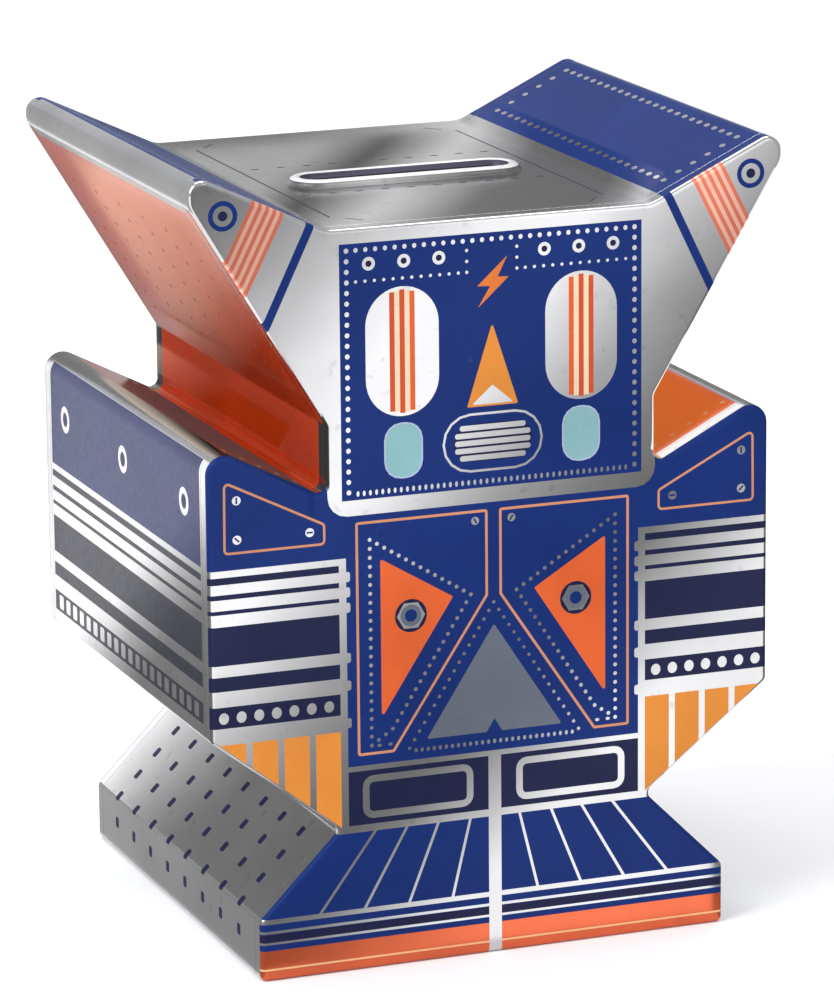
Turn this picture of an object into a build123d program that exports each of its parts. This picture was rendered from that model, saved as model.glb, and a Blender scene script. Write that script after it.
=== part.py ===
"""Printed tinplate money box in the shape of a robot.

The walls are 0.3 mm tinplate. The robot's outline is drawn once, in the XZ plane, and the box is that
outline pressed into two shallow panels, front and back, with a folded wall between them. Three strips
make the wall, a tray closes the foot, and a round plastic stopper lets the money out.

Millimetres. +Z is up, the robot looks along -Y, and the origin is under the middle of the foot.
"""
from build123d import *
import os

os.makedirs("parts", exist_ok=True)

# Outline of the robot: half widths and heights of its corners, before they are rounded
foot_half = 36.9
foot_height = 9.2
waist_half = 24.3
waist_height = 21.8
body_half = 44.0
arm_bottom = 37.2
shoulder_height = 81.4
neck_half = 25.7
neck_height = 72.0
jaw_height = 82.6
ear_half = 46.0
ear_bottom = 116.2
ear_top = 121.0
head_half = 25.3
head_height = 111.2

# Radii of those corners
foot_corner = 0.9
ankle_bend = 1.2
waist_bend = 1.2
elbow_bend = 1.0
shoulder_bend = 2.8
neck_bend = 1.2
jaw_bend = 1.5
ear_bottom_bend = 3.0
ear_top_bend = 2.2
head_bend = 4.5

# Sheet metal
depth = 77.4
sheet = 0.3
skirt = 2.7
edge_radius = 0.8
joggle = 1.0
seam_gap = 0.1

# Lap of the crown over the side walls, just under the ear's end
crown_end = 1.5
crown_lap = 2.3
cut_reach = 3.0

# Coin slot, in the top of the head
slot_centers = 27.6
slot_setting = -4.0
bead_path = 3.4
bead_radius = 1.2

# Base tray and stopper
tray_clearance = 0.05
tray_height = 3.3
tray_corner = 1.5
hole_radius = 18.0
flange_radius = 21.0
flange_thickness = 1.6
plug_radius = 17.8
plug_height = 5.0
plug_wall = 1.4
ridge_radius = 17.95
ridge_height = 0.8
grip_width = 2.4
edge_break = 0.4

half_outline = [
    (foot_half, 0),
    (foot_half, foot_height),
    (waist_half, waist_height),
    (body_half, arm_bottom),
    (body_half, shoulder_height),
    (neck_half, neck_height),
    (neck_half, jaw_height),
    (ear_half, ear_bottom),
    (ear_half, ear_top),
    (head_half, head_height),
]
half_bends = [
    foot_corner,
    ankle_bend,
    waist_bend,
    elbow_bend,
    shoulder_bend,
    neck_bend,
    jaw_bend,
    ear_bottom_bend,
    ear_top_bend,
    head_bend,
]


def outline(inset):
    """The robot's outline as a flat face, moved inwards by inset."""
    points = half_outline + [(-x, z) for x, z in reversed(half_outline)]
    bends = half_bends + half_bends[::-1]
    with BuildSketch() as face:
        with BuildLine():
            FilletPolyline(*points, radius=bends, close=True)
        make_face()
        if inset:
            offset(amount=-inset)
    return face.sketch


def under_ear(side, along, outwards):
    """A point measured along the ear's underside from the corner at its end, and outwards from that face."""
    corner = Vector(ear_half, ear_bottom)
    down = (Vector(neck_half, jaw_height) - corner).normalized()
    point = corner + down * along + Vector(-down.Y, down.X) * outwards
    return (side * point.X, point.Y)


def above_cuts(along):
    """Everything above two cuts across the undersides of the ears."""
    right = [under_ear(1, along, cut_reach), under_ear(1, along, -cut_reach), (waist_half, jaw_height)]
    left = [(-waist_half, jaw_height), under_ear(-1, along, -cut_reach), under_ear(-1, along, cut_reach)]
    above = [(-body_half - foot_half, 2 * ear_top), (body_half + foot_half, 2 * ear_top)]
    with BuildSketch() as zone:
        Polygon(*right, *left, *above, align=None)
    return zone.sketch


outer = outline(0)
lapped = outline(sheet)
inner = outline(2 * sheet)
crown_zone = above_cuts(crown_end)
lap_zone = above_cuts(crown_end + joggle)
band_half = depth / 2 - skirt - seam_gap
tongue_start = band_half - joggle
tongue_length = depth / 2 - edge_radius - tongue_start
tray_floor = tray_height - sheet
tray_half_x = foot_half - foot_corner - tray_clearance
tray_half_y = depth / 2 - edge_radius - tray_clearance
head_top = Plane.XY.offset(head_height)

# Front and back panels: the outline, with a skirt turned back all round
with BuildPart() as panel_hollow:
    with BuildSketch(Plane.XZ.offset(depth / 2 - sheet)):
        add(lapped)
    extrude(amount=-skirt)
    fillet(panel_hollow.faces().sort_by(Axis.Y)[0].edges(), radius=edge_radius - sheet)

with BuildPart() as front_panel:
    with BuildSketch(Plane.XZ.offset(depth / 2)):
        add(outer)
    extrude(amount=-skirt)
    fillet(front_panel.faces().sort_by(Axis.Y)[0].edges(), radius=edge_radius)
    add(panel_hollow.part, mode=Mode.SUBTRACT)
front_panel.part.label = "front_panel"
export_step(front_panel.part, "parts/front_panel.step")

with BuildPart() as back_panel:
    add(mirror(front_panel.part, about=Plane.XZ, mode=Mode.PRIVATE))
back_panel.part.label = "back_panel"
export_step(back_panel.part, "parts/back_panel.step")

# Crown: the top of the head and the tops of the ears, turned round the ears' tips, in one strip
with BuildPart() as crown_strip:
    with BuildSketch(Plane.XZ):
        add(outer)
        add(lapped, mode=Mode.SUBTRACT)
        add(crown_zone, mode=Mode.INTERSECT)
    extrude(amount=band_half, both=True)
    with BuildSketch(Plane.XZ.offset(tongue_start), Plane.XZ.offset(-tongue_start - tongue_length)):
        add(lapped)
        add(inner, mode=Mode.SUBTRACT)
        add(crown_zone, mode=Mode.INTERSECT)
    extrude(amount=tongue_length)
    with BuildSketch(head_top):
        with Locations((0, slot_setting)):
            SlotCenterToCenter(slot_centers, 2 * (bead_path + bead_radius) - sheet)
    extrude(amount=-2 * sheet, mode=Mode.SUBTRACT)
    with BuildSketch(head_top, mode=Mode.PRIVATE) as bead_line:
        with Locations((0, slot_setting)):
            SlotCenterToCenter(slot_centers, 2 * bead_path)
    with BuildSketch(Plane.YZ.offset(0)) as bead_section:
        with Locations((slot_setting - bead_path, head_height)):
            Circle(bead_radius)
            Circle(bead_radius - sheet, mode=Mode.SUBTRACT)
            with Locations((0, -bead_radius - sheet)):
                Rectangle(2 * bead_radius, 2 * bead_radius, mode=Mode.SUBTRACT)
    sweep(path=bead_line.wires()[0])
crown_strip.part.label = "crown_strip"
export_step(crown_strip.part, "parts/crown_strip.step")

# Side walls: ear, jaw, shoulder, arm, leg and foot in one strip on each side
for name, side in (("left_side_strip", -1), ("right_side_strip", 1)):
    with BuildSketch() as wall_zone:
        with Locations((side * ear_half, 0)):
            Rectangle(2 * ear_half, 2 * ear_top)
        add(crown_zone, mode=Mode.SUBTRACT)
        Rectangle(2 * (foot_half - skirt), 2 * tray_floor, mode=Mode.SUBTRACT)
    with BuildPart() as side_strip:
        with BuildSketch(Plane.XZ):
            add(outer)
            add(lapped, mode=Mode.SUBTRACT)
            add(wall_zone.sketch, mode=Mode.INTERSECT)
        extrude(amount=band_half, both=True)
        with BuildSketch(Plane.XZ.offset(tongue_start), Plane.XZ.offset(-tongue_start - tongue_length)):
            add(lapped)
            add(inner, mode=Mode.SUBTRACT)
            add(wall_zone.sketch, mode=Mode.INTERSECT)
            Rectangle(2 * foot_half, 2 * foot_corner, mode=Mode.SUBTRACT)
        extrude(amount=tongue_length)
        with BuildSketch(Plane.XZ):
            add(lapped)
            add(inner, mode=Mode.SUBTRACT)
            add(lap_zone, mode=Mode.INTERSECT)
            with Locations((side * ear_half, ear_bottom)):
                Rectangle(2 * cut_reach, 2 * crown_lap, mode=Mode.INTERSECT)
        extrude(amount=tongue_start - seam_gap, both=True)
    side_strip.part.label = name
    export_step(side_strip.part, f"parts/{name}.step")

# Base: a tray let into the foot, standing on the edges turned in from the walls
with BuildPart() as tray_hollow:
    with BuildSketch(Plane.XY):
        RectangleRounded(2 * (tray_half_x - sheet), 2 * (tray_half_y - sheet), tray_corner - sheet)
    extrude(amount=tray_floor)
    fillet(tray_hollow.faces().sort_by(Axis.Z)[-1].edges(), radius=edge_radius - sheet)

with BuildPart() as base_tray:
    with BuildSketch(Plane.XY.offset(sheet)):
        RectangleRounded(2 * tray_half_x, 2 * tray_half_y, tray_corner)
    extrude(amount=tray_height - sheet)
    fillet(base_tray.faces().sort_by(Axis.Z)[-1].edges(), radius=edge_radius)
    add(tray_hollow.part, mode=Mode.SUBTRACT)
    with Locations((0, 0, tray_height)):
        Hole(hole_radius)
base_tray.part.label = "base_tray"
export_step(base_tray.part, "parts/base_tray.step")

# Stopper: a moulded cap, hollow from below, with a rib to pull it by and a ridge that snaps into the hole
flange_bottom = tray_floor - flange_thickness
plug_top = tray_floor + plug_height
with BuildPart() as stopper:
    with BuildSketch(Plane.XZ):
        with BuildLine():
            Polyline(
                (0, plug_top),
                (plug_radius, plug_top),
                (plug_radius, tray_floor + 2 * ridge_height),
                (ridge_radius, tray_floor + ridge_height),
                (plug_radius, tray_floor),
                (flange_radius, tray_floor),
                (flange_radius, flange_bottom),
                (plug_radius - plug_wall, flange_bottom),
                (plug_radius - plug_wall, plug_top - plug_wall),
                (0, plug_top - plug_wall),
                close=True,
            )
        make_face()
    revolve(axis=Axis.Z)
    fillet(stopper.edges().filter_by(GeomType.CIRCLE).group_by(SortBy.RADIUS)[-1], radius=edge_break)
    fillet(stopper.edges().filter_by(GeomType.CIRCLE).sort_by(Axis.Z)[-1], radius=2 * edge_break)
    with BuildSketch(Plane.XY.offset(flange_bottom + edge_break)):
        Rectangle(2 * (plug_radius - plug_wall) + edge_break, grip_width)
    extrude(amount=plug_top - plug_wall - flange_bottom)
stopper.part.label = "stopper"
export_step(stopper.part, "parts/stopper.step")
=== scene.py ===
"""Looks of the printed tinplate money box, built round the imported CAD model.

The five printed sheets are made again here as thin closed meshes of the CAD's own shape. Each patch of
ink is a patch of faces, so the print has crisp edges. The base tray and the stopper are the CAD's.

Sizes are in millimetres until a mesh is made. +Z is up, and the robot looks along -Y.
"""
import math

import bpy
import numpy as np
from mathutils import Matrix, Vector
from mathutils.geometry import delaunay_2d_cdt


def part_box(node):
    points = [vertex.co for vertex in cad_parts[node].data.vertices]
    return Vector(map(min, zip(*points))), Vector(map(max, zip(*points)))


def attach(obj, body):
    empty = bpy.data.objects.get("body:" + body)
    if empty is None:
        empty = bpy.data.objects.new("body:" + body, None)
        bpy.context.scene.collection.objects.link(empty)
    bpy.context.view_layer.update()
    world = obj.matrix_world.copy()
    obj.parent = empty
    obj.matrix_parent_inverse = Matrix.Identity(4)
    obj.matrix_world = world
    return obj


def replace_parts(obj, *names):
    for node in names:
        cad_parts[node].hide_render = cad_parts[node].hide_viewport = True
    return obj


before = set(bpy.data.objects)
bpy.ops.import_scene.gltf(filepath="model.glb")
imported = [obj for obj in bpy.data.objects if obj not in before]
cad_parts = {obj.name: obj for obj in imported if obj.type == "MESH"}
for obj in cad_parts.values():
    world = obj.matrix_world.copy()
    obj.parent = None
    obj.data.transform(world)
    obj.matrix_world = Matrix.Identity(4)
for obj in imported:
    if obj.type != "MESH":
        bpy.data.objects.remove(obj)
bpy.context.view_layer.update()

MM = 0.001

# Outline of the robot's right half, from the foot up: x, z and radius of each corner
HALF_OUTLINE = [
    (36.9, 0, 0.9),
    (36.9, 9.2, 1.2),
    (24.3, 21.8, 1.2),
    (44.0, 37.2, 1.0),
    (44.0, 81.4, 2.8),
    (25.7, 72.0, 1.2),
    (25.7, 82.6, 1.5),
    (46.0, 116.2, 3.0),
    (46.0, 121.0, 2.2),
    (25.3, 111.2, 4.5),
]
# Places of those corners in the path round the robot, which starts under the middle of the foot
ANKLE, WAIST, ELBOW, SHOULDER, NECK, JAW, EAR_BOTTOM, EAR_TOP, HEAD = range(2, 11)

# Sheet metal
SHEET = 0.3
EDGE_RADIUS = 0.8
SEAM_GAP = 0.1
CROWN_END = 1.5
CROWN_LAP = 2.0
front_low, front_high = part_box("front_panel")
HALF_DEPTH = -front_low.y / MM
SKIRT = (front_high.y - front_low.y) / MM
BAND = HALF_DEPTH - SKIRT - SEAM_GAP
TONGUE = HALF_DEPTH - EDGE_RADIUS
LAP_HALF = BAND - 1.0

# Coin slot
SLOT_HALF = 13.8
SLOT_SETTING = -4.0
BEAD_PATH = 3.4
BEAD_RADIUS = 1.2
BEAD_FLARE = 0.4
BEAD_LEG = 1.5
# How far out from the bead's centre line its painted highlight reaches, as a share of the bead's radius
LIP_SHARE = 0.62

ARC_STEP = math.radians(9)

# Brightness of a white surface facing the camera, under the studio's light
STUDIO_LIGHT = 1.3


# ---------------------------------------------------------------- lines and outlines


class Path:
    """A closed line of straight runs and arcs, going anticlockwise, measured by the distance along it."""

    def __init__(self, corners):
        points = [np.array(corner[:2], float) for corner in corners]
        count = len(points)
        headings = []
        for i in range(count):
            across, up = points[(i + 1) % count] - points[i]
            headings.append(math.atan2(up, across))
        turns = [math.remainder(headings[i] - headings[i - 1], math.tau) for i in range(count)]
        cuts = [corners[i][2] * abs(math.tan(turns[i] / 2)) for i in range(count)]
        self.starts, self.lengths, self.origins, self.headings, self.bends = [], [], [], [], []
        self.reached, self.left = [], []
        self.length = 0.0
        for i in range(count):
            radius = corners[i][2]
            self.reached.append(self.length + cuts[i])
            before = np.array([math.cos(headings[i - 1]), math.sin(headings[i - 1])])
            after = np.array([math.cos(headings[i]), math.sin(headings[i])])
            if radius and abs(turns[i]) > 1e-6:
                bend = math.copysign(1 / radius, turns[i])
                self._add(points[i] - before * cuts[i], headings[i - 1], bend, radius * abs(turns[i]))
            self.left.append(self.length - cuts[i])
            following = (i + 1) % count
            straight = np.linalg.norm(points[following] - points[i]) - cuts[i] - cuts[following]
            self._add(points[i] + after * cuts[i], headings[i], 0.0, straight)
        self.starts = np.array(self.starts)
        self.origins = np.array(self.origins)
        self.headings = np.array(self.headings)
        self.bends = np.array(self.bends)

    def _add(self, origin, heading, bend, length):
        if length > 1e-6:
            self.starts.append(self.length)
            self.lengths.append(length)
            self.origins.append(origin)
            self.headings.append(heading)
            self.bends.append(bend)
            self.length += length

    def at(self, distances):
        """The points at these distances, and the outward directions there."""
        distances = np.clip(np.asarray(distances, float), 0, self.length - 1e-9)
        run = np.searchsorted(self.starts, distances, side="right") - 1
        along = distances - self.starts[run]
        first = self.headings[run]
        bend = self.bends[run]
        heading = first + bend * along
        straight = bend == 0
        divisor = np.where(straight, 1.0, bend)
        across = np.where(straight, along * np.cos(first), (np.sin(heading) - np.sin(first)) / divisor)
        up = np.where(straight, along * np.sin(first), (np.cos(first) - np.cos(heading)) / divisor)
        points = self.origins[run] + np.stack([across, up], -1)
        return points, np.stack([np.sin(heading), -np.cos(heading)], -1)

    def stations(self, step=ARC_STEP):
        """Distances of the runs' ends, and of enough points along each arc."""
        found = []
        for start, length, bend in zip(self.starts, self.lengths, self.bends):
            pieces = max(1, math.ceil(abs(bend) * length / step))
            found += [start + length * i / pieces for i in range(pieces)]
        return np.array(found)

    def ring(self, inset=0.0, step=ARC_STEP):
        """The path's points, moved inwards."""
        points, outward = self.at(self.stations(step))
        return points - inset * outward


FOOT_MIDDLE = (0, 0, 0)
OTHER_HALF = [(-x, z, radius) for x, z, radius in reversed(HALF_OUTLINE)]
OUTLINE = Path([FOOT_MIDDLE] + HALF_OUTLINE + OTHER_HALF)
TOP_MIDDLE = OUTLINE.length / 2
HEAD_HEIGHT = HALF_OUTLINE[-1][1]


def facet(corner, along):
    """The distance round the outline of a point on a flat, this far past a corner or before it."""
    sharp = OUTLINE.left if along >= 0 else OUTLINE.reached
    return sharp[corner] + along


# ---------------------------------------------------------------- printed artwork


class Print:
    """Flat shapes, each with an ink. A later shape covers the earlier ones."""

    def __init__(self):
        self.shapes = []

    def area(self, ink, points):
        self.shapes.append((ink, [(float(x), float(y)) for x, y in points]))

    def blob(self, ink, corners, radius, inset=0.0, step=math.radians(22.5)):
        """A polygon with rounded corners."""
        self.area(ink, Path([(x, y, radius) for x, y in corners]).ring(inset, step))

    def rect(self, ink, left, bottom, right, top, radius=0.0, inset=0.0):
        corners = [(left, bottom), (right, bottom), (right, top), (left, top)]
        if radius:
            self.blob(ink, corners, radius, inset)
        else:
            self.area(ink, corners)

    def disc(self, ink, x, y, width, height=None, sides=24):
        """A circle or an upright oval."""
        tall = width if height is None else height
        angles = [math.tau * (i + 0.5) / sides for i in range(sides)]
        self.area(ink, [(x + width / 2 * math.cos(a), y + tall / 2 * math.sin(a)) for a in angles])

    def outline(self, ink, fill, corners, radius, width):
        """A closed line with rounded corners, with its inside filled."""
        self.blob(ink, corners, radius)
        self.blob(fill, corners, radius, width)

    def stroke(self, ink, start, end, width):
        """A straight line with square ends."""
        start, end = np.array(start, float), np.array(end, float)
        along = (end - start) / np.linalg.norm(end - start)
        side = np.array([-along[1], along[0]]) * width / 2
        self.area(ink, [start - side, end - side, end + side, start + side])

    def row(self, ink, start, end, count, width, height, sides=8):
        """Dots, evenly spaced, with one at each end."""
        start, end = np.array(start, float), np.array(end, float)
        for i in range(count):
            x, y = start + (end - start) * i / max(1, count - 1)
            self.disc(ink, x, y, width, height, sides)

    def dotted(self, ink, corners, pitch, size):
        """Dots round a closed figure, with one at each corner."""
        for start, end in zip(corners, corners[1:] + corners[:1]):
            gaps = max(1, round(math.dist(start, end) / pitch))
            last = np.array(end) + (np.array(start) - np.array(end)) / gaps
            self.row(ink, start, last, gaps, size, size)

    def both_sides(self, half, middle=0.0):
        """Adds another print's shapes, and their mirror images across a line."""
        for ink, points in half.shapes:
            self.area(ink, points)
            self.area(ink, [(2 * middle - x, y) for x, y in reversed(points)])


FACE_HALF = 23.5
FACE_BOTTOM = 71.3
FACE_TOP = 109.0
BODY_HALF = 23.0
CHEST_BOTTOM = 31.3
ARM_INNER = 24.1
ARM_BLUE_BOTTOM = 62.8

# How far some shapes run on, past the outline that cuts them off
PAST_EDGE = 50
BLEED = 4.0

# Printed bars across the arm, on its front and its side: top and bottom of each
ARM_BARS = [(61.8, 60.75), (59.25, 58.5), (56.9, 56.3), (54.5, 48.7), (47.0, 44.85), (42.5, 39.3)]
ARM_BUMPS = [60.0, 57.7, 55.4, 47.85, 43.7, 38.0]
AMBER_TOP = 36.8


def arm_edge(x):
    """Height of the arm's slanting lower edge."""
    (inner_x, inner_z, _), (outer_x, outer_z, _) = HALF_OUTLINE[WAIST - 1], HALF_OUTLINE[ELBOW - 1]
    return inner_z + (x - inner_x) * (outer_z - inner_z) / (outer_x - inner_x)


def arm_front(half):
    """The arm, the shoulder and its plate."""
    half.rect("blue", ARM_INNER, ARM_BLUE_BOTTOM, PAST_EDGE, 82)
    for top, bottom in ARM_BARS:
        half.rect("navy", ARM_INNER, bottom, PAST_EDGE, top)
    half.row("tin", (25.85, 40.8), (42.05, 40.8), 7, 1.55, 1.75, 12)
    pitch, width, farthest, margin = 4.87, 3.9, 43.0, 0.55
    for i in range(4):
        left = ARM_INNER + pitch * i
        right = min(left + width, farthest)
        lower = [(x, arm_edge(x) + margin) for x in (left, right)]
        half.area("amber", lower + [(right, AMBER_TOP), (left, AMBER_TOP)])
    half.outline("copper", "blue", [(41.7, 65.1), (41.6, 76.1), (26.1, 68.3), (26.1, 65.1)], 0.75, 0.36)
    for x, z, slant in ((39.6, 73.0, 90), (39.6, 67.2, 45), (28.5, 67.2, 0)):
        screw(half, x, z, 1.35, slant)


def screw(half, x, z, size, slant):
    """A printed screw head with a slot across it."""
    half.disc("tin", x, z, size, sides=16)
    reach = np.array([math.cos(math.radians(slant)), math.sin(math.radians(slant))]) * size * 0.36
    half.stroke("blue", (x, z) - reach, (x, z) + reach, size * 0.2)


def arm_column(half):
    """The bare strip between the arm and the body, with its row of bumps."""
    half.rect("tin", BODY_HALF, 20, ARM_INNER, ARM_BLUE_BOTTOM)
    for z in ARM_BUMPS:
        half.rect("tin", BODY_HALF - 0.6, z - 0.75, BODY_HALF + 0.5, z + 0.75, 0.4)


def chest(half):
    """One side of the chest: a copper-edged panel with a triangle in dots, a nut and a screw."""
    panel = [(21.5, 32.8), (21.5, 68.0), (0.9, 68.0), (0.9, 55.0), (15.8, 32.8)]
    half.outline("copper", "blue", panel, 0.42, 0.4)
    half.dotted("tin", [(19.3, 34.2), (19.3, 65.2), (3.6, 55.4), (16.0, 36.4)], 1.35, 0.62)
    half.blob("red_orange", [(17.7, 38.2), (17.7, 62.2), (6.4, 55.4)], 0.25)
    half.row("tin", (16.4, 34.1), (18.1, 34.1), 2, 0.7, 0.5)
    nut(half, 13.0, 53.2)
    screw(half, 2.85, 66.4, 1.25, 60)


def nut(half, x, z):
    """A printed hexagon nut on its dark washer."""
    reach = 2.2
    turns = [math.tau * i / 6 for i in range(6)]
    half.disc("navy", x, z, 5.0, sides=28)
    half.area("tin", [(x + reach * math.cos(turn), z + reach * math.sin(turn)) for turn in turns])
    half.disc("grey", x, z, 3.3, sides=24)
    half.disc("blue", x, z, 1.9, sides=18)


def chest_middle(art):
    """The grey triangle between the chest's two panels, in its border of dots."""
    base, apex, half_base = 34.2, 50.6, 10.7
    art.row("tin", (0, 53.9), (-13.4, 33.1), 18, 0.55, 0.55)
    art.row("tin", (0, 53.9), (13.4, 33.1), 18, 0.55, 0.55)
    art.row("tin", (-12.4, 32.7), (12.4, 32.7), 27, 0.5, 0.7)
    art.blob("grey", [(-half_base, base), (half_base, base), (0, apex)], 0.2)
    art.blob("blue", [(-1.3, base - 0.1), (1.3, base - 0.1), (0, base + 2.0)], 0.1)


def waist_and_foot(half):
    """The dark plates at the waist, and the foot with its rays and bands."""
    gap_half = 1.0
    half.rect("tin", 0, 0, ARM_INNER, CHEST_BOTTOM)
    half.rect("navy", gap_half, 22.3, BODY_HALF, 30.5)
    corners = [(3.4, 23.15), (20.8, 23.15), (20.8, 29.7), (3.4, 29.7)]
    half.outline("tin", "navy", corners, 1.7, 1.05)
    half.rect("blue", gap_half, 9.5, PAST_EDGE, 21.2)
    for top, bottom in ((3.9, 6.8), (8.95, 13.7), (13.85, 20.7), (18.8, 27.7)):
        half.stroke("tin", (top, 21.3), (bottom, 9.4), 0.42)
    half.rect("blue", gap_half, 4.7, PAST_EDGE, 8.75)
    half.rect("navy", gap_half, 5.9, PAST_EDGE, 7.2)
    for z, width in ((7.5, 0.42), (5.8, 0.36)):
        half.rect("tin", gap_half, z - width / 2, PAST_EDGE, z + width / 2)
    half.rect("red_tin", gap_half, -BLEED, PAST_EDGE, 4.7)
    # A pale line across the red band: a painted highlight
    half.rect("pale_orange", gap_half, 1.65, PAST_EDGE, 1.95)


def ear_front(half):
    """The ear's ring, its striped band and its line."""
    half.stroke("blue", (27.45, 112.8), (35.3, 96.7), 1.3)
    inner = np.array([(31.0, 115.3), (37.9, 101.9)])
    across = np.array([5.2, 2.68])
    stripes, band_width = 9, 5.3
    step = across / math.hypot(*across) * band_width / stripes
    for i in range(stripes):
        edge = inner + step * i
        ink = "ear_salmon" if i % 2 == 0 else "ear_cream"
        half.area(ink, [edge[1], edge[1] + step, edge[0] + step, edge[0]])
    for ink, width, sides in (("blue", 4.4, 32), ("tin", 3.0, 24), ("navy", 1.45, 18)):
        half.disc(ink, 40.9, 114.5, width, sides=sides)


def head_field(art):
    """The blue head panel in its bare surround, with a border of dots."""
    art.rect("tin", -25.7, 69.0, 25.7, 130, 3.0)
    art.rect("blue", -FACE_HALF, FACE_BOTTOM, FACE_HALF, FACE_TOP)
    edge = FACE_HALF - 1.1
    top = FACE_TOP - 1.0
    for side in (-edge, edge):
        art.row("tin", (side, FACE_BOTTOM + 1.2), (side, top), 24, 0.75, 0.78)
    art.row("tin", (-edge + 1.45, top), (edge - 1.45, top), 29, 0.68, 0.75)
    art.row("tin", (-edge + 1.4, 72.2), (edge - 1.4, 72.2), 45, 0.46, 0.85)


def face(half):
    """One side of the face: a row of rings, a striped eye and a cheek."""
    half.row("tin", (3.9, 106.6), (3.9, 103.4), 3, 0.5, 0.5)
    half.row("tin", (5.2, 103.4), (21.0, 103.4), 12, 0.5, 0.5)
    for x in (8.2, 13.6, 19.0):
        half.disc("tin", x, 105.9, 2.0, sides=20)
        half.disc("navy", x, 105.9, 0.95, sides=14)
    left, right, bottom, top = 8.3, 19.6, 83.1, 102.2
    eye = [(left, bottom), (right, bottom), (right, top), (left, top)]
    half.blob("tin", eye, 5.64, step=ARC_STEP)
    middle, width = 13.95, 0.78
    for i, ink in enumerate(("red_orange", "cream", "red", "cream", "red")):
        start = middle + (i - 2.5) * width
        short = 0.45 + 0.16 * abs(i - 2)
        half.rect(ink, start, bottom + short, start + width, top - short)
    cheek = [(10.9, 73.85), (16.9, 73.85), (16.9, 82.15), (10.9, 82.15)]
    half.blob("pale_blue", cheek, 2.6)
    half.blob("mint", cheek, 2.6, 0.22)


def face_middle(art):
    """The flash over the nose, the nose and the mouth."""
    flash = [(2.4, 105.4), (-2.3, 101.2), (-0.3, 101.1), (-2.2, 98.0), (2.6, 102.3), (0.9, 102.4)]
    art.area("orange", flash)
    art.blob("amber", [(-4.0, 83.4), (4.0, 83.4), (0, 95.7)], 0.2)
    art.blob("tin", [(-3.3, 83.7), (3.3, 83.7), (0, 86.5)], 0.15)
    art.rect("tin", -7.85, 73.7, 7.85, 82.5, 4.35)
    art.rect("blue", -7.85, 73.7, 7.85, 82.5, 4.35, 0.35)
    art.rect("navy", -6.15, 75.3, 6.15, 80.9, 2.75)
    lowest, pitch = 75.75, 1.12
    for i, reach in enumerate((5.15, 5.9, 5.9, 5.9, 5.15)):
        z = lowest + pitch * i
        art.rect("tin", -reach, z - 0.3, reach, z + 0.5, 0.35)


def body_print():
    """What the front and the back share: arms, chest, waist and feet."""
    half = Print()
    arm_front(half)
    arm_column(half)
    half.rect("blue", 0, CHEST_BOTTOM, BODY_HALF - 0.6, 71)
    half.rect("blue", BODY_HALF - 0.7, CHEST_BOTTOM, BODY_HALF, ARM_BLUE_BOTTOM)
    half.rect("blue", BODY_HALF - 0.7, ARM_BLUE_BOTTOM, ARM_INNER + 0.1, 75)
    for z in ARM_BUMPS:
        half.rect("tin", BODY_HALF - 0.6, z - 0.75, BODY_HALF + 0.3, z + 0.75, 0.35)
    waist_and_foot(half)
    chest(half)
    ear_front(half)
    art = Print()
    art.both_sides(half)
    chest_middle(art)
    head_field(art)
    return art


def front_print():
    """The front: the body and the face."""
    art = body_print()
    half = Print()
    face(half)
    art.both_sides(half)
    face_middle(art)
    return art


def back_print():
    """The back: the same body, with a grille in the head panel in place of the face."""
    art = body_print()
    bottom, top = 76.5, 103.8
    art.rect("tin", -17.5, bottom, 17.5, top, 3.0)
    art.rect("navy", -17.5, bottom, 17.5, top, 3.0, 0.6)
    lowest, pitch = 79.6, 3.02
    for i in range(8):
        z = lowest + pitch * i
        art.rect("tin", -14.5, z - 0.55, 14.5, z + 0.55, 0.5)
    for x in (-20.3, 20.3):
        for z in (bottom, top):
            screw(art, x, z, 1.6, 30)
    return art


# The side's print stops this far from the middle of its depth
SIDE_MARGIN = 35.3


def side_band(art, ink, start, end):
    """A band of the side's print, from front to back."""
    art.rect(ink, start, -SIDE_MARGIN, end, SIDE_MARGIN)


def neck_side(art):
    """Orange from under the ear, over the jaw and neck, to near the top of the arm, with rows of dots."""
    side_band(art, "orange_tin", facet(SHOULDER, 4.2), facet(EAR_BOTTOM, -2.0))
    pitch = 3.05
    for y in np.linspace(-25, 30, 6):
        for i in range(9):
            art.disc("red_dot", facet(EAR_BOTTOM, -9.5 - pitch * i), y, 0.75, 0.85, 8)
    for y in (-32.5, 32.5):
        for i in range(5):
            art.disc("pale_orange", facet(NECK, -15.3 + pitch * i), y, 0.8, 1.2, 8)


def arm_side(art):
    """The arm: blue with three rings, then the front's bars carried round, and a ladder."""
    arm_height = HALF_OUTLINE[ELBOW - 1][1]

    def at_height(z):
        return facet(ELBOW, z - arm_height)

    # The side's blue and navy are the front's inks, with the side's light and shade painted into their
    # colour
    side_band(art, "side_blue", at_height(ARM_BLUE_BOTTOM), at_height(78.9))
    for y in (-28.2, 0, 28.2):
        for ink, width, sides in (("tin", 4.2, 28), ("side_blue", 2.3, 20), ("navy", 1.7, 18)):
            art.disc(ink, at_height(71.0), y, width, sides=sides)
    for top, bottom in ARM_BARS:
        side_band(art, "side_navy", at_height(bottom), at_height(top))
    count, pitch = 20, 3.4
    for i in range(count):
        y = (i - (count - 1) / 2) * pitch
        art.rect("tin", at_height(39.8), y - 1.0, at_height(42.0), y + 1.0, 0.35)


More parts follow.
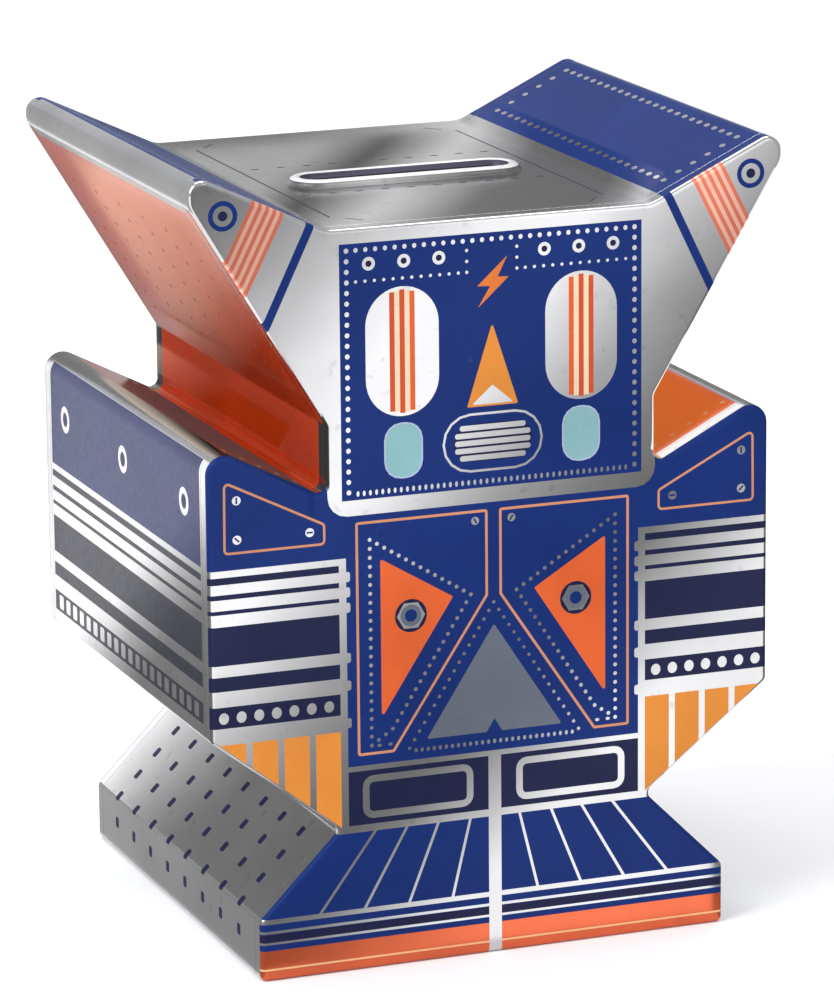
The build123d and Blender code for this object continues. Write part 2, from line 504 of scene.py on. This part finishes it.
def leg_side(art):
    """The leg and the foot: rows of dark squares."""
    count, pitch = 8, 8.2
    for row in (14.1, 9.6, 5.1, 0.6, -3.9):
        bottom, top = facet(ANKLE, row - 0.85), facet(ANKLE, row + 0.85)
        for i in range(count):
            y = (i - (count - 1) / 2) * pitch
            art.rect("navy", bottom, y - 0.75, top, y + 0.75, 0.35)


def side_print():
    """The side wall's print, in distance round the outline and depth."""
    art = Print()
    neck_side(art)
    arm_side(art)
    leg_side(art)
    return art


def crown_print():
    """The print on the ears' tops and the head, in distance round the outline and depth."""
    half = Print()
    (ear_x, ear_z, _), (head_x, head_z, _) = HALF_OUTLINE[EAR_TOP - 1], HALF_OUTLINE[HEAD - 1]
    ear_length = math.dist((ear_x, ear_z), (head_x, head_z))

    def from_head(along):
        return facet(EAR_TOP, ear_length - along)

    half.rect("blue", from_head(20.5), -BAND, from_head(2.1), BAND)
    for along in (4.9, 17.9):
        half.row("tin", (from_head(along), -32.5), (from_head(along), 32.5), 25, 0.95, 1.45)
    for y in (-32.5, 32.5):
        half.row("tin", (from_head(15.3), y), (from_head(7.5), y), 4, 0.95, 1.45)
    line = TOP_MIDDLE - 21.45
    half.stroke("line", (line, -29.5), (line, 29.5), 0.38)
    for side in (-1, 1):
        half.stroke("line", (TOP_MIDDLE - 19.6, side * 31.0), (TOP_MIDDLE - 17.6, side * 33.4), 0.4)
    art = Print()
    art.both_sides(half, TOP_MIDDLE)
    for y in (-12.0, 10.5):
        art.row("line", (TOP_MIDDLE - 18.6, y), (TOP_MIDDLE + 18.6, y), 10, 1.5, 0.75)
    return art


# ---------------------------------------------------------------- inks and metal


def linear(red, green, blue, share=1.0):
    """A share of a colour given as 0 to 255, as Blender's shaders take it."""
    colour = []
    for level in (red, green, blue):
        part = level / 255
        colour.append(share * (part / 12.92 if part <= 0.04045 else ((part + 0.055) / 1.055) ** 2.4))
    return colour + [1.0]


def scaled(colour, factor, lift=0):
    """A colour made lighter or darker, and lifted, within 255."""
    return [min(255, level * factor + lift) for level in colour]


class Surface:
    """A material, with short calls that add nodes to it."""

    def __init__(self, name):
        self.material = bpy.data.materials.new(name)
        self.material.use_nodes = True
        self.nodes = self.material.node_tree.nodes
        self.links = self.material.node_tree.links
        self.shader = self.nodes["Principled BSDF"]
        self.place = self.nodes.new("ShaderNodeTexCoord").outputs["Object"]

    def noise(self, scale, detail=2.0, stretch=(1, 1, 1)):
        """Noise in object space. The scale is in repeats a metre."""
        mapping = self.nodes.new("ShaderNodeMapping")
        mapping.inputs["Scale"].default_value = stretch
        texture = self.nodes.new("ShaderNodeTexNoise")
        texture.inputs["Scale"].default_value = scale
        texture.inputs["Detail"].default_value = detail
        self.links.new(self.place, mapping.inputs["Vector"])
        self.links.new(mapping.outputs[0], texture.inputs["Vector"])
        return texture.outputs[0]

    def spread(self, value, low, high, start=0.3, end=0.7):
        """The value's range from start to end, spread from low to high."""
        node = self.nodes.new("ShaderNodeMapRange")
        node.inputs["From Min"].default_value = start
        node.inputs["From Max"].default_value = end
        node.inputs["To Min"].default_value = low
        node.inputs["To Max"].default_value = high
        self.links.new(value, node.inputs["Value"])
        return node.outputs[0]

    def blend(self, factor, first, second):
        """Two colours, or a node's colour and a second one, mixed."""
        node = self.nodes.new("ShaderNodeMix")
        node.data_type = "RGBA"
        self.links.new(factor, node.inputs[0])
        for socket, colour in ((node.inputs[6], first), (node.inputs[7], second)):
            if isinstance(colour, list):
                socket.default_value = colour
            else:
                self.links.new(colour, socket)
        return node.outputs[2]

    def bumps(self, *heights):
        """Bumps of these (value, distance in metres) pairs, one over the other."""
        normal = None
        for value, distance in heights:
            node = self.nodes.new("ShaderNodeBump")
            node.inputs["Strength"].default_value = 1.0
            node.inputs["Distance"].default_value = distance
            self.links.new(value, node.inputs["Height"])
            if normal:
                self.links.new(normal, node.inputs["Normal"])
            normal = node.outputs[0]
        self.links.new(normal, self.shader.inputs["Normal"])


def varnish(surface, weight, roughness):
    """The clear stoving varnish over tin and inks."""
    surface.shader.inputs["Coat Weight"].default_value = weight
    surface.shader.inputs["Coat Roughness"].default_value = roughness
    surface.shader.inputs["Coat IOR"].default_value = 1.5


def panel_waves(surface):
    """The slow waves of thin pressed sheet."""
    return surface.noise(9, 1.0), 0.0006


def tin(name, shade=(203, 203, 205), roughness=(0.17, 0.23), metallic=1.0):
    """Bright rolled tinplate: fine grain along the sheet, faint clouds and small rubs."""
    surface = Surface(name)
    clouds = surface.noise(45, 3.0)
    grain = surface.noise(900, 2.0, (1, 1, 0.06))
    rubs = surface.noise(420, 5.0)
    light = linear(*shade)
    dark = linear(*scaled(shade, 0.9))
    rubbed = linear(*scaled(shade, 0.7))
    colour = surface.blend(surface.spread(clouds, 0, 1), light, dark)
    worn = surface.blend(surface.spread(rubs, 0, 0.35, 0.62, 0.74), colour, rubbed)
    surface.links.new(worn, surface.shader.inputs["Base Color"])
    surface.links.new(surface.spread(grain, *roughness), surface.shader.inputs["Roughness"])
    surface.shader.inputs["Metallic"].default_value = metallic
    varnish(surface, 0.25, 0.12)
    surface.bumps(panel_waves(surface), (grain, 0.000004))
    return surface.material


def ink(name, colour, metallic=0.0, roughness=0.35, coat=0.05):
    """Printing ink stoved on tin: a thin film, slightly uneven, with a fine mottle and a few pinholes.

    The colour is how it looks under the studio's light, or what a clear ink's metal reflects of it."""
    surface = Surface(name)
    share = 1.0 if metallic else 1 / STUDIO_LIGHT
    density = surface.noise(60, 3.0)
    mottle = surface.noise(1400, 2.0)
    pinholes = surface.noise(700, 4.0)
    thick = linear(*scaled(colour, 0.95), share)
    thin = linear(*scaled(colour, 1.05, 2), share)
    bare = linear(*scaled(colour, 0.6, 90), share)
    film = surface.blend(surface.spread(density, 0, 1), thick, thin)
    film = surface.blend(surface.spread(mottle, 0, 0.25), film, thin)
    film = surface.blend(surface.spread(pinholes, 0, 0.3, 0.72, 0.78), film, bare)
    uneven = surface.spread(mottle, roughness - 0.05, roughness + 0.05)
    surface.links.new(film, surface.shader.inputs["Base Color"])
    surface.links.new(uneven, surface.shader.inputs["Roughness"])
    surface.shader.inputs["Metallic"].default_value = metallic
    surface.shader.inputs["Specular IOR Level"].default_value = min(0.5, coat)
    varnish(surface, coat, 0.1)
    surface.bumps(panel_waves(surface), (mottle, 0.000002))
    return surface.material


def plastic():
    """Soft moulded plastic with a fine spark texture."""
    surface = Surface("plastic")
    clouds = surface.noise(150, 2.0)
    texture = surface.noise(2600, 3.0)
    colour = surface.blend(surface.spread(clouds, 0, 1), linear(34, 34, 38), linear(44, 44, 48))
    surface.links.new(colour, surface.shader.inputs["Base Color"])
    surface.links.new(surface.spread(texture, 0.42, 0.58), surface.shader.inputs["Roughness"])
    surface.shader.inputs["Specular IOR Level"].default_value = 0.4
    surface.bumps((texture, 0.00002))
    return surface.material


# Plain inks, by how they look under the studio's light
INKS = {
    "blue": (22, 46, 111),
    "navy": (32, 35, 68),
    "amber": (226, 142, 60),
    "orange": (224, 120, 56),
    "red_orange": (224, 99, 50),
    "red": (206, 84, 48),
    "copper": (206, 140, 104),
    "cream": (240, 214, 184),
    "mint": (138, 182, 187),
    "pale_blue": (176, 188, 216),
    "grey": (102, 108, 120),
    "line": (66, 66, 78),
    "pale_orange": (250, 190, 140),
    "red_dot": (150, 74, 56),
}
# Inks with settings of their own: glossier, greyer copies of the front's blue and navy for the side, with
# the side's light and shade painted into their colour, and clear ones that the tin shines through
SPECIAL_INKS = {
    "side_blue": dict(colour=(46, 53, 95), coat=0.07),
    "side_navy": dict(colour=(49, 51, 61), coat=0.07),
    "ear_salmon": dict(colour=(208, 112, 88), metallic=0.6, roughness=0.22, coat=0.2),
    "ear_cream": dict(colour=(226, 172, 152), metallic=0.6, roughness=0.22, coat=0.2),
    "orange_tin": dict(colour=(202, 62, 10), metallic=0.35, roughness=0.2, coat=0.6),
    "red_tin": dict(colour=(200, 90, 52), metallic=0.7, roughness=0.2, coat=0.3),
}
MATERIALS = {name: ink(name, colour) for name, colour in INKS.items()}
MATERIALS |= {name: ink(name, **settings) for name, settings in SPECIAL_INKS.items()}
MATERIALS["tin"] = tin("tin")
# Near-white, less metallic tin on the bead's top: a painted highlight
MATERIALS["lip_tin"] = tin("lip_tin", (252, 252, 254), metallic=0.3)
# Dark, dull tin on the slot's inner wall: painted shade
MATERIALS["slot_tin"] = tin("slot_tin", (66, 64, 84), (0.4, 0.5), 0.4)
PLASTIC = plastic()


# ---------------------------------------------------------------- sheets


WELD = 1e-4
SMALLEST_AREA = 1e-9


def twice_area(corners):
    """Twice the area of a flat triangle."""
    (across, up), (further, higher) = corners[1] - corners[0], corners[2] - corners[0]
    return abs(across * higher - further * up)


def cut_up(regions, art, cuts=(), holes=()):
    """Cuts the regions into triangles along the print's edges and the cut lines, leaving out the holes.

    Holes are given clockwise. Returns the points, the triangles, the ink of each triangle, and the
    points round each hole."""
    points, edges, faces = [], [], []
    shift = np.mean([point[0] for region in regions for point in region])

    def add(line):
        first = len(points)
        points.extend(Vector((float(x - shift), float(y))) for x, y in line)
        return list(range(first, len(points)))

    faces += [add(region) for region in regions]
    rims = [add(hole) for hole in holes]
    faces += [rim[::-1] for rim in rims]
    faces += [add(shape) for _, shape in art.shapes]
    for line in cuts:
        numbers = add(line)
        edges += list(zip(numbers, numbers[1:]))
    out, _, triangles, sources, _, origins = delaunay_2d_cdt(points, edges, faces, 0, WELD, True)
    found = np.array([(point.x + shift, point.y) for point in out])
    same = {number: i for i, numbers in enumerate(sources) for number in numbers}
    holes_from = len(regions)
    art_from = holes_from + len(rims)
    kept, inks = [], []
    for triangle, origin in zip(triangles, origins):
        inside = any(number < holes_from for number in origin)
        cut_out = any(holes_from <= number < art_from for number in origin)
        if inside and not cut_out and twice_area(found[list(triangle)]) > SMALLEST_AREA:
            top = max(origin)
            kept.append(tuple(triangle))
            inks.append(art.shapes[top - art_from][0] if top >= art_from else "tin")
    return found, kept, inks, [[same[number] for number in rim] for rim in rims]


def rims_of(faces):
    """The edges that only one face has, in that face's order."""
    seen = {}
    for face in faces:
        for start, end in zip(face, face[1:] + face[:1]):
            seen[(start, end)] = True
    return [(start, end) for start, end in seen if (end, start) not in seen]


def facing_out(places, normals, faces):
    """The faces, each turned to face the way that its corners do."""
    turned = []
    for face in faces:
        a, b, c = (places[i] for i in face[:3])
        outward = sum(normals[i] for i in face)
        turned.append(face if np.dot(np.cross(b - a, c - a), outward) > 0 else face[::-1])
    return turned


def skin_normals(points, normals, faces, inner, walls):
    """The direction that each corner of each face faces: smooth on the two skins, flat at the edges."""
    count = len(normals)
    corners = [tuple(normals[i]) for face in faces for i in face]
    corners += [tuple(-normals[i - count]) for face in inner for i in face]
    for face in walls:
        a, b, c = (points[i] for i in face[:3])
        flat = np.cross(b - a, c - a)
        corners += [tuple(flat / (np.linalg.norm(flat) or 1.0))] * 4
    return corners


def sheet_object(name, places, normals, faces, inks):
    """A closed sheet of metal from its outer skin: each face has its ink, and the rest is bare."""
    used = sorted({i for face in faces for i in face})
    number = {old: new for new, old in enumerate(used)}
    places, normals = places[used], normals[used]
    faces = facing_out(places, normals, [tuple(number[i] for i in face) for face in faces])
    count = len(places)
    inner = [tuple(i + count for i in reversed(face)) for face in faces]
    walls = [(end, start, start + count, end + count) for start, end in rims_of(faces)]
    mesh = bpy.data.meshes.new(name)
    points = np.concatenate([places, places - normals * SHEET]) * MM
    mesh.from_pydata(points.tolist(), [], faces + inner + walls)
    names = ["tin"] + sorted(set(inks) - {"tin"})
    for each in names:
        mesh.materials.append(MATERIALS[each])
    slots = [names.index(each) for each in inks] + [0] * (len(inner) + len(walls))
    mesh.polygons.foreach_set("material_index", slots)
    mesh.polygons.foreach_set("use_smooth", [True] * len(mesh.polygons))
    mesh.normals_split_custom_set(skin_normals(points, normals, faces, inner, walls))
    mesh.update()
    piece = bpy.data.objects.new(name, mesh)
    bpy.context.scene.collection.objects.link(piece)
    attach(piece, "box")
    return piece


def nearest_edge(points):
    """Each point's distance from the outline, and the outline's outward direction there."""
    loop, outward = OUTLINE.at(OUTLINE.stations())
    ahead, outward_ahead = np.roll(loop, -1, 0), np.roll(outward, -1, 0)
    along = ahead - loop
    offsets = points[:, None] - loop[None]
    share = np.clip((offsets * along).sum(-1) / (along**2).sum(-1), 0, 1)
    gaps = np.linalg.norm(offsets - share[..., None] * along, axis=-1)
    run = gaps.argmin(1)
    rows = np.arange(len(points))
    part = share[rows, run][:, None]
    direction = outward[run] * (1 - part) + outward_ahead[run] * part
    return gaps[rows, run], direction / np.linalg.norm(direction, axis=1)[:, None]


# The parts of the skirt that carry on the ears' print: heights, and distances from the middle
EAR_UNDERSIDE = (26, 85, 114)
EAR_TOP_PRINT = (27.5, 44.5, 112.2)


def skirt_ink(place, normal):
    """Ink of a panel's skirt: the ears' print is carried over it, and the rest is bare."""
    x, z = abs(place[0]), place[2]
    inner, bottom, top = EAR_UNDERSIDE
    if normal[2] < -0.3 and x > inner and bottom < z < top:
        return "orange_tin"
    inner, outer, bottom = EAR_TOP_PRINT
    if normal[2] > 0.3 and inner < x < outer and z > bottom:
        return "blue"
    return "tin"


def rounded_face(side, art):
    """A panel's flat face and its rounded edge."""
    turns = [math.radians(turn) for turn in (0, 22.5, 45, 67.5)]
    rings = [OUTLINE.ring(EDGE_RADIUS * (1 - math.sin(turn))) for turn in turns]
    cuts = [np.vstack([ring, ring[:1]]) for ring in rings]
    flat, faces, inks, _ = cut_up([OUTLINE.ring()], art, cuts)
    distance, outward = nearest_edge(flat)
    share = np.clip(1 - distance / EDGE_RADIUS, 0, 1)
    facing = np.sqrt(1 - share**2)
    depth = HALF_DEPTH - EDGE_RADIUS * (1 - facing)
    places = np.stack([flat[:, 0], side * depth, flat[:, 1]], -1)
    normals = np.stack([outward[:, 0] * share, side * facing, outward[:, 1] * share], -1)
    return places, normals, faces, inks


def panel(name, side, art, slot):
    """The front (side -1) or back (side 1) panel: a flat face, a rounded edge and a skirt."""
    places, normals, faces, inks = rounded_face(side, art)
    rim = rims_of(faces)
    turned = {start: len(places) + i for i, (start, _) in enumerate(rim)}
    skirt_places = places[list(turned)]
    skirt_places[:, 1] = side * (HALF_DEPTH - SKIRT)
    all_places = np.concatenate([places, skirt_places])
    all_normals = np.concatenate([normals, normals[list(turned)]])
    for start, end in rim:
        faces.append((start, end, turned[end], turned[start]))
        inks.append(skirt_ink((places[start] + places[end]) / 2, (normals[start] + normals[end]) / 2))
    return sheet_object(name, all_places, all_normals, faces, inks)


def strip_parts(start, end, art, lap=0.0, holes=()):
    """A strip of the wall between two distances round the outline.

    Its front and back edges are tucked under the panels' skirts. A lap carries on past the end, tucked
    under the next strip."""
    step_in = BAND + SEAM_GAP
    foot_end = facet(ANKLE, -HALF_OUTLINE[1][1] + 1.5)
    tongue_start = max(start, foot_end)
    regions = [
        [(start, -BAND), (end, -BAND), (end, BAND), (start, BAND)],
        [(tongue_start, -TONGUE), (end, -TONGUE), (end, TONGUE), (tongue_start, TONGUE)],
    ]
    cuts = [[(start, y), (end, y)] for y in (-step_in, -BAND, BAND, step_in)]
    last = end + lap
    if lap:
        before = end - 1
        regions.append([(before, -LAP_HALF), (last, -LAP_HALF), (last, LAP_HALF), (before, LAP_HALF)])
        cuts.append([(end + SEAM_GAP, -LAP_HALF), (end + SEAM_GAP, LAP_HALF)])
    stations = OUTLINE.stations()
    cuts += [[(s, -TONGUE), (s, TONGUE)] for s in stations if start < s < last]
    flat, faces, inks, rims = cut_up(regions, art, cuts, holes)
    tucked = (np.abs(flat[:, 1]) > BAND + SEAM_GAP / 2) | (flat[:, 0] > end + SEAM_GAP / 2)
    points, outward = OUTLINE.at(flat[:, 0])
    points = points - outward * np.where(tucked, SHEET, 0)[:, None]
    places = np.stack([points[:, 0], flat[:, 1], points[:, 1]], -1)
    normals = np.stack([outward[:, 0], np.zeros(len(flat)), outward[:, 1]], -1)
    return places, normals, faces, inks, rims


def side_strip(name, side, art):
    """Underside of the ear, jaw, neck, shoulder, arm, leg and foot, turned in under the foot."""
    start = HALF_OUTLINE[0][0] - SKIRT
    end = facet(EAR_BOTTOM, -CROWN_END)
    places, normals, faces, inks, _ = strip_parts(start, end, art, CROWN_LAP)
    mirror = np.array([side, 1, 1])
    return sheet_object(name, places * mirror, normals * mirror, faces, inks)


def slot_ring(offset, height=0.0, lean=(0.0, 1.0)):
    """Points round the coin slot at an offset from its middle line, and the directions they face.

    The lean is how far they face away from the slot, and how far up."""
    arcs = 14
    ring = []
    for end in (1, -1):
        for i in range(arcs + 1):
            angle = math.pi * (i / arcs - 0.5) + (0 if end > 0 else math.pi)
            ring.append((end * SLOT_HALF, math.cos(angle), math.sin(angle)))
    middle, across, along = np.array(ring).T
    level = np.full(len(ring), HEAD_HEIGHT + height)
    up = np.full(len(ring), lean[1])
    places = np.stack([middle + offset * across, SLOT_SETTING + offset * along, level], -1)
    return places, np.stack([across * lean[0], along * lean[0], up], -1)


def bead_section():
    """Offset, height and facing of the rolled edge, from the flat outside to the leg inside the slot."""
    foot = BEAD_PATH + BEAD_RADIUS
    section = [
        (foot + BEAD_FLARE * 0.45, 0.05, (0.35, 0.94)),
        (foot + BEAD_FLARE * 0.12, 0.22, (0.75, 0.66)),
    ]
    for turn in range(30, 181, 15):
        lean = (math.cos(math.radians(turn)), math.sin(math.radians(turn)))
        section.append((BEAD_PATH + BEAD_RADIUS * lean[0], BEAD_RADIUS * lean[1], lean))
    section.append((BEAD_PATH - BEAD_RADIUS, 0.0, (-1.0, 0.0)))
    section.append((BEAD_PATH - BEAD_RADIUS, -BEAD_LEG, (-1.0, 0.0)))
    return section


def bead_ink(offset, lean):
    """Painted highlight on the lip's top, plain tin on its outer side, and painted shade in the slot."""
    # Faces turned into the slot get painted shade
    if lean[0] < -0.5:
        return "slot_tin"
    return "lip_tin" if offset < BEAD_PATH + LIP_SHARE * BEAD_RADIUS else "tin"


def crown(art):
    """Top of the head and the ears, turned round the ears' tips, with the coin slot's rolled edge."""
    end = facet(EAR_BOTTOM, -CROWN_END)
    rim_places, _ = slot_ring(BEAD_PATH + BEAD_RADIUS + BEAD_FLARE)
    hole = [(TOP_MIDDLE - x, y) for x, y, _ in rim_places]
    places, normals, faces, inks, rims = strip_parts(end, OUTLINE.length - end, art, holes=[hole])
    previous = rims[0]
    for offset, height, lean in bead_section():
        ring_places, ring_normals = slot_ring(offset, height, lean)
        ring = list(range(len(places), len(places) + len(previous)))
        places = np.concatenate([places, ring_places])
        normals = np.concatenate([normals, ring_normals])
        for i in range(len(ring)):
            j = (i + 1) % len(ring)
            faces.append((previous[i], previous[j], ring[j], ring[i]))
            inks.append(bead_ink(offset, lean))
        previous = ring
    return sheet_object("crown", places, normals, faces, inks)


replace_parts(panel("front", -1, front_print(), "printed_front"), "front_panel")
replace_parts(panel("back", 1, back_print(), "printed_back"), "back_panel")
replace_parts(crown(crown_print()), "crown_strip")
side_art = side_print()
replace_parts(side_strip("left_wall", -1, side_art), "left_side_strip")
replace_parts(side_strip("right_wall", 1, side_art), "right_side_strip")

for node, material in (("base_tray", MATERIALS["tin"]), ("stopper", PLASTIC)):
    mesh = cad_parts[node].data
    for i in range(max(1, len(mesh.materials))):
        if mesh.materials:
            mesh.materials[i] = material
        else:
            mesh.materials.append(material)


# ---------------------------------------------------------------- camera, floor and light


# The camera: its place in metres, its lens in millimetres, and the way it looks
CAMERA_PLACE = (-0.2911, -0.7634, 0.2629)
LENS = 198.8
HEADING, DIP, ROLL = math.radians(21.07), math.radians(13.92), math.radians(-0.53)
AHEAD = Vector((math.sin(HEADING) * math.cos(DIP), math.cos(HEADING) * math.cos(DIP), -math.sin(DIP)))
LEVEL = Vector((math.cos(HEADING), -math.sin(HEADING), 0))
RIGHT = LEVEL * math.cos(ROLL) + LEVEL.cross(AHEAD) * math.sin(ROLL)
UP = RIGHT.cross(AHEAD)


def camera():
    """The camera, in front of the robot, on the viewer's left and above."""
    data = bpy.data.cameras.new("camera")
    data.lens = LENS
    data.sensor_width = 36.0
    data.clip_start, data.clip_end = 0.01, 50
    seen = bpy.data.objects.new("camera", data)
    turn = Matrix((RIGHT, UP, -AHEAD)).transposed().to_4x4()
    seen.matrix_world = Matrix.Translation(CAMERA_PLACE) @ turn
    bpy.context.scene.collection.objects.link(seen)
    bpy.context.scene.camera = seen


def floor():
    """A plain pale floor."""
    half = 4.0
    corners = [(-half, -half, 0), (half, -half, 0), (half, half, 0), (-half, half, 0)]
    mesh = bpy.data.meshes.new("floor")
    mesh.from_pydata(corners, [], [(0, 1, 2, 3)])
    surface = Surface("floor")
    paper = surface.noise(6, 3.0)
    colour = surface.blend(surface.spread(paper, 0, 1), linear(246, 246, 247), linear(242, 242, 243))
    surface.links.new(colour, surface.shader.inputs["Base Color"])
    surface.shader.inputs["Roughness"].default_value = 0.9
    surface.shader.inputs["Specular IOR Level"].default_value = 0.1
    mesh.materials.append(surface.material)
    sheet = bpy.data.objects.new("floor", mesh)
    bpy.context.scene.collection.objects.link(sheet)


def only_in_reflections(piece):
    """Keeps a lighting card out of sight, so that it shows in shiny surfaces alone."""
    piece.visible_camera = False
    piece.visible_diffuse = False
    piece.visible_transmission = False
    piece.visible_volume_scatter = False
    piece.visible_shadow = False


# How strongly a card glows, so that bright tin shows its bands at the brightness given
METAL_GAIN = 1.75
# Direction in which the bands follow one another in the camera's view, to the right and down
SLANT = (0.707, -0.707)


def glow_in_bands(surface, bands, direction, offset, tint):
    """Makes a surface glow in bands that follow one another along a direction."""
    along = surface.nodes.new("ShaderNodeVectorMath")
    along.operation = "DOT_PRODUCT"
    along.inputs[1].default_value = direction
    surface.links.new(surface.place, along.inputs[0])
    first, last = bands[0][0], bands[-1][0]
    share = surface.spread(along.outputs["Value"], 0, 1, (first + offset) * MM, (last + offset) * MM)
    ramp = surface.nodes.new("ShaderNodeValToRGB")
    ramp.color_ramp.interpolation = "LINEAR"
    stops = ramp.color_ramp.elements
    for _ in bands[2:]:
        stops.new(0.5)
    for stop, (place, shade) in zip(stops, bands):
        stop.position = (place - first) / (last - first)
        stop.color = [a * b for a, b in zip(linear(shade, shade, shade), (*tint, 1))]
    surface.links.new(share, ramp.inputs[0])
    glow = surface.nodes.new("ShaderNodeEmission")
    glow.inputs["Strength"].default_value = METAL_GAIN
    surface.links.new(ramp.outputs[0], glow.inputs["Color"])
    surface.links.new(glow.outputs[0], surface.nodes["Material Output"].inputs["Surface"])
    surface.nodes.remove(surface.shader)


def card(name, corners, height, bands, spread=1.0, slant=SLANT, tint=(1, 1, 1)):
    """A card beside one flat, that puts slanting bands of light and shade in its bright metal.

    Bands are (millimetres along the slant, brightness from 0 to 255)."""
    corners = [Vector(corner) for corner in corners]
    normal = (corners[1] - corners[0]).cross(corners[3] - corners[0]).normalized()
    mirrored = AHEAD - normal * 2 * AHEAD.dot(normal)
    facing = mirrored.dot(normal)
    shift = mirrored * (height / facing) if facing > 0.1 else normal * height
    middle = sum(corners, Vector()) / 4
    places = [(middle + (corner - middle) * spread + shift) * MM for corner in corners]
    mesh = bpy.data.meshes.new(name)
    mesh.from_pydata(places, [], [(0, 1, 2, 3)])
    surface = Surface(name)
    direction = RIGHT * slant[0] + UP * slant[1]
    glow_in_bands(surface, bands, direction, shift.dot(direction), tint)
    mesh.materials.append(surface.material)
    sheet = bpy.data.objects.new(name, mesh)
    bpy.context.scene.collection.objects.link(sheet)
    only_in_reflections(sheet)


def wall(start, end):
    """Corners of the wall's flat between two points of the outline, going anticlockwise."""
    (x1, z1), (x2, z2) = start, end
    return [(x1, -HALF_DEPTH, z1), (x1, HALF_DEPTH, z1), (x2, HALF_DEPTH, z2), (x2, -HALF_DEPTH, z2)]


def pair(name, start, end, height, bands, spread):
    """A card beside the same flat on each side of the box. The ends are given for the right side."""
    (start_x, start_z), (end_x, end_z) = start, end
    card("left_" + name, wall((-end_x, end_z), (-start_x, start_z)), height, bands, spread)
    card("right_" + name, wall(start, end), height, bands, spread)


def panel_cards():
    """Bands in the front and the back."""
    bands = [
        (-90, 112), (-80, 142), (-68, 198), (-60, 236), (-54, 255), (-45, 255), (-39, 229), (-29, 166),
        (-20, 126), (-12, 108), (-7, 127), (2, 198), (9, 248), (14, 255),
    ]
    slant = (0.756, -0.655)
    edge = [(-46, -12), (46, -12), (46, 118), (-46, 118)]
    card("front_card", [(x, -HALF_DEPTH, z) for x, z in edge], 6, bands, 1.15, slant)
    card("back_card", [(-x, HALF_DEPTH, z) for x, z in edge], 6, bands, 1.0, slant)


def bare_cards():
    """Bands in the bare metal of the arms, the head's top, the legs, the foot and the ears' ends."""
    arm = [(-75, 250), (-63, 250), (-57, 172), (-51, 113), (-40, 108), (0, 108)]
    pair("card", (44, 37), (44, 80), 6, arm, 1.5)
    head = [
        (-101, 152), (-90, 152), (-83, 62), (-74.5, 184), (-65, 100),
        (-53, 96), (-50, 130), (-45, 233), (-36, 250),
    ]
    card("head_card", wall((25.5, 111.2), (-25.5, 111.2)), 3, head, 1.05)
    leg = [(-50, 254), (-46, 250), (-38, 172), (-32, 124), (-28, 109), (0, 106)]
    pair("leg_card", (36.9, 9.2), (24.3, 21.8), 4, leg, 1.1)
    foot = [(-45, 150), (-35, 146), (-31, 140), (-20, 126), (0, 122)]
    pair("foot_card", (36.9, -2), (36.9, 9.2), 1, foot, 1.3)
    tip = [(-125, 150), (-100, 160), (-60, 160)]
    pair("tip_card", (46, 114), (46, 122), 1.5, tip, 1.1)


def orange_cards():
    """Light and shade in the orange under the left ear, on the neck's left and on the right shoulder."""
    ear = [(-116, 150), (-109, 195), (-98, 175), (-86, 140), (-80, 97), (-72, 20), (-50, 10)]
    card("left_ear_card", wall((-46, 116.2), (-25.7, 82.6)), 4, ear, tint=(1, 0.83, 0.68))
    card("left_neck_card", wall((-25.7, 82.6), (-25.7, 72)), 2, [(-120, 50), (-20, 50)], 1.2)
    print_share, past_edge = 0.91, 1.15
    printed = [(x, print_share * y, z) for x, y, z in wall((40.3, 79.5), (25.7, 72))]
    card("right_shoulder_card", printed, 2, [(-60, 206), (0, 206)], tint=(1, 0.5, 0.11))
    near, far = -past_edge * HALF_DEPTH, -print_share * HALF_DEPTH
    border = [(x, near if y < 0 else far, z) for x, y, z in wall((44, 81.4), (25.7, 72))]
    card("right_shoulder_edge_card", border, 2, [(-60, 250), (0, 250)])


def softbox(name, place, target, size, power):
    """A soft light, seen by the object but not by the camera."""
    data = bpy.data.lights.new(name, "AREA")
    data.shape = "RECTANGLE"
    data.size, data.size_y = size
    data.energy = power
    light = bpy.data.objects.new(name, data)
    light.location = place
    light.rotation_mode = "QUATERNION"
    light.rotation_quaternion = (Vector(place) - Vector(target)).to_track_quat("Z", "Y")
    light.visible_camera = False
    bpy.context.scene.collection.objects.link(light)


def studio():
    """Soft light from the left, the front and the top, and a pale world."""
    world = bpy.data.worlds.new("studio")
    world.use_nodes = True
    world.node_tree.nodes["Background"].inputs["Color"].default_value = linear(236, 238, 242)
    world.node_tree.nodes["Background"].inputs["Strength"].default_value = 0.75
    bpy.context.scene.world = world
    middle = (0, 0, 0.06)
    softbox("left_box", (-1.1, -0.3, 0.9), middle, (0.9, 0.9), 17)
    softbox("front_box", (0.5, -1.5, 1.2), middle, (1.2, 0.8), 12)
    softbox("top_box", (0.1, 0.5, 1.6), middle, (1.2, 0.7), 11)
    bpy.context.scene.view_settings.view_transform = "Standard"


camera()
floor()
panel_cards()
bare_cards()
orange_cards()
studio()
